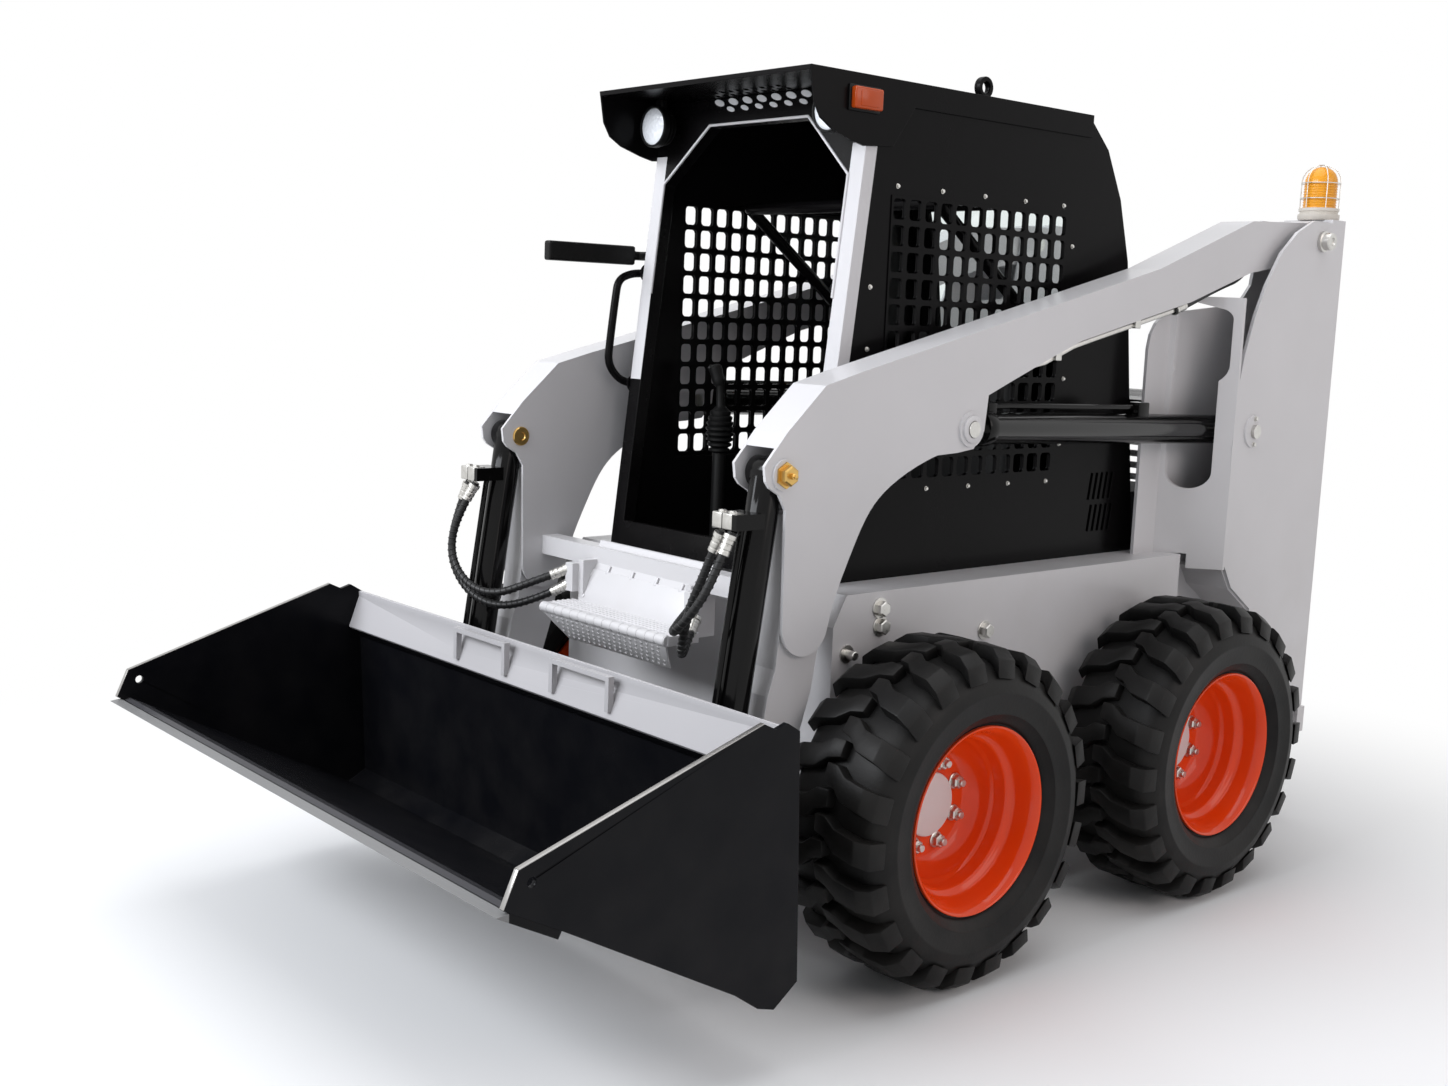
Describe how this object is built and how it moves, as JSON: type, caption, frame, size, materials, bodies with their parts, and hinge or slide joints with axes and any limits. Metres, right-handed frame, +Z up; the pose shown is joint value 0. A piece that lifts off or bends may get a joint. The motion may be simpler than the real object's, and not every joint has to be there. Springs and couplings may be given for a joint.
{
  "type": "skid steer loader",
  "caption": "Compact skid steer loader with a mesh-sided cab, lift arms on rear uprights, hydraulic cylinders, a tilting earth bucket and deep-dish wheels",
  "frame": {"origin": "on the ground under the middle of the machine's overall box, at rest with the arms down", "axes": "+X is the machine's left, +Y its rear (it drives forward along -Y), +Z up"},
  "size_m": [1.816, 3.276, 2.187],
  "materials": {
    "body_grey": "gloss paint",
    "black_paint": "gloss paint",
    "bucket_black": "gloss paint",
    "rim_orange": "gloss paint",
    "pin_steel": "bare steel",
    "rod_chrome": "hard chrome",
    "engine_iron": "painted casting",
    "tyre_rubber": "moulded rubber",
    "hose_rubber": "hose cover",
    "seat_vinyl": "vinyl",
    "dark_plastic": "moulded",
    "lamp_clear": "clear lens",
    "lamp_amber": "amber lens",
    "lamp_red": "red lens",
    "clear_glass": "clear"
  },
  "bodies": {
    "chassis": {"main_frame": "body_grey", "upright_left": "body_grey", "upright_right": "body_grey", "frame_pins": "pin_steel", "axle_tubes": "black_paint", "engine": "engine_iron", "engine_cover": "black_paint", "tail_lamps": "lamp_red", "beacon_base": "dark_plastic", "beacon_lens": "lamp_amber", "cab_front": "body_grey", "cab_side_left": "black_paint", "cab_side_right": "black_paint", "cab_rear": "black_paint", "rear_window": "clear_glass", "cab_roof": "black_paint", "cab_floor": "black_paint", "seat": "seat_vinyl", "control_levers": "dark_plastic", "work_lamps": "lamp_clear", "marker_lamps": "lamp_amber", "lifting_eyes": "black_paint", "grab_handle": "black_paint", "mirror": "dark_plastic"},
    "rear_door": {"rear_door": "body_grey"},
    "seat_bar": {"seat_bar": "black_paint"},
    "arms": {"arm_left": "body_grey", "arm_right": "body_grey", "arm_crossmember": "body_grey", "arm_pins": "pin_steel", "tilt_hose_left_low": "hose_rubber", "tilt_hose_left_high": "hose_rubber", "tilt_hose_right_low": "hose_rubber", "tilt_hose_right_high": "hose_rubber"},
    "lift_barrels": {"lift_barrels": "black_paint"},
    "lift_rods": {"lift_rods": "rod_chrome"},
    "tilt_barrels": {"tilt_barrels": "black_paint"},
    "tilt_rods": {"tilt_rods": "rod_chrome"},
    "tool": {"bucket": "bucket_black", "cutting_edge": "pin_steel", "coupler": "bucket_black"},
    "wheel_front_left": {"tyre_front_left": "tyre_rubber", "rim_front_left": "rim_orange"},
    "wheel_front_right": {"tyre_front_right": "tyre_rubber", "rim_front_right": "rim_orange"},
    "wheel_rear_left": {"tyre_rear_left": "tyre_rubber", "rim_rear_left": "rim_orange"},
    "wheel_rear_right": {"tyre_rear_right": "tyre_rubber", "rim_rear_right": "rim_orange"}
  },
  "joints": [
    {"name": "arm_lift", "type": "hinge", "parent": "chassis", "child": "arms", "pos_m": [0, 1.468, 1.836], "axis": [-1, 0, 0], "range_deg": [0, 55]},
    {"name": "lift_barrel_swing", "type": "hinge", "parent": "chassis", "child": "lift_barrels", "pos_m": [0, 1.167, 1.268], "axis": [-1, 0, 0], "range_deg": [-1, 58]},
    {"name": "lift_rod_slide", "type": "slide", "parent": "lift_barrels", "child": "lift_rods", "axis": [0, -0.9998, 0.0219], "range_m": [-0.002, 0.5976]},
    {"name": "bucket_tilt", "type": "hinge", "parent": "arms", "child": "tool", "pos_m": [0, -0.735, 0.24], "axis": [1, 0, 0], "range_deg": [0, 126]},
    {"name": "tilt_barrel_swing", "type": "hinge", "parent": "arms", "child": "tilt_barrels", "pos_m": [0, -0.687, 1.205], "axis": [1, 0, 0], "range_deg": [-2, 2]},
    {"name": "tilt_rod_slide", "type": "slide", "parent": "tilt_barrels", "child": "tilt_rods", "axis": [0, -0.1477, -0.989], "range_m": [-0.002, 0.3602]},
    {"name": "rear_door_hinge", "type": "hinge", "parent": "chassis", "child": "rear_door", "pos_m": [-0.44, 1.609, 0.86], "axis": [0, 0, 1], "range_deg": [0, 100]},
    {"name": "seat_bar_hinge", "type": "hinge", "parent": "chassis", "child": "seat_bar", "pos_m": [0, 0.575, 1.45], "axis": [1, 0, 0], "range_deg": [0, 60]},
    {"name": "wheel_front_left_spin", "type": "hinge", "parent": "chassis", "child": "wheel_front_left", "pos_m": [0.724, -0.275, 0.41], "axis": [1, 0, 0], "continuous": true},
    {"name": "wheel_front_right_spin", "type": "hinge", "parent": "chassis", "child": "wheel_front_right", "pos_m": [-0.724, -0.275, 0.41], "axis": [1, 0, 0], "continuous": true},
    {"name": "wheel_rear_left_spin", "type": "hinge", "parent": "chassis", "child": "wheel_rear_left", "pos_m": [0.724, 0.745, 0.41], "axis": [1, 0, 0], "continuous": true},
    {"name": "wheel_rear_right_spin", "type": "hinge", "parent": "chassis", "child": "wheel_rear_right", "pos_m": [-0.724, 0.745, 0.41], "axis": [1, 0, 0], "continuous": true}
  ],
  "couplings": [
    {"joint": "lift_barrel_swing", "follows": "arm_lift", "ratio": 0.99507},
    {"joint": "lift_rod_slide", "follows": "arm_lift", "m_per_rad": 0.61838},
    {"joint": "tilt_barrel_swing", "follows": "bucket_tilt", "ratio": 0.0034078},
    {"joint": "tilt_rod_slide", "follows": "bucket_tilt", "m_per_rad": 0.16197}
  ]
}
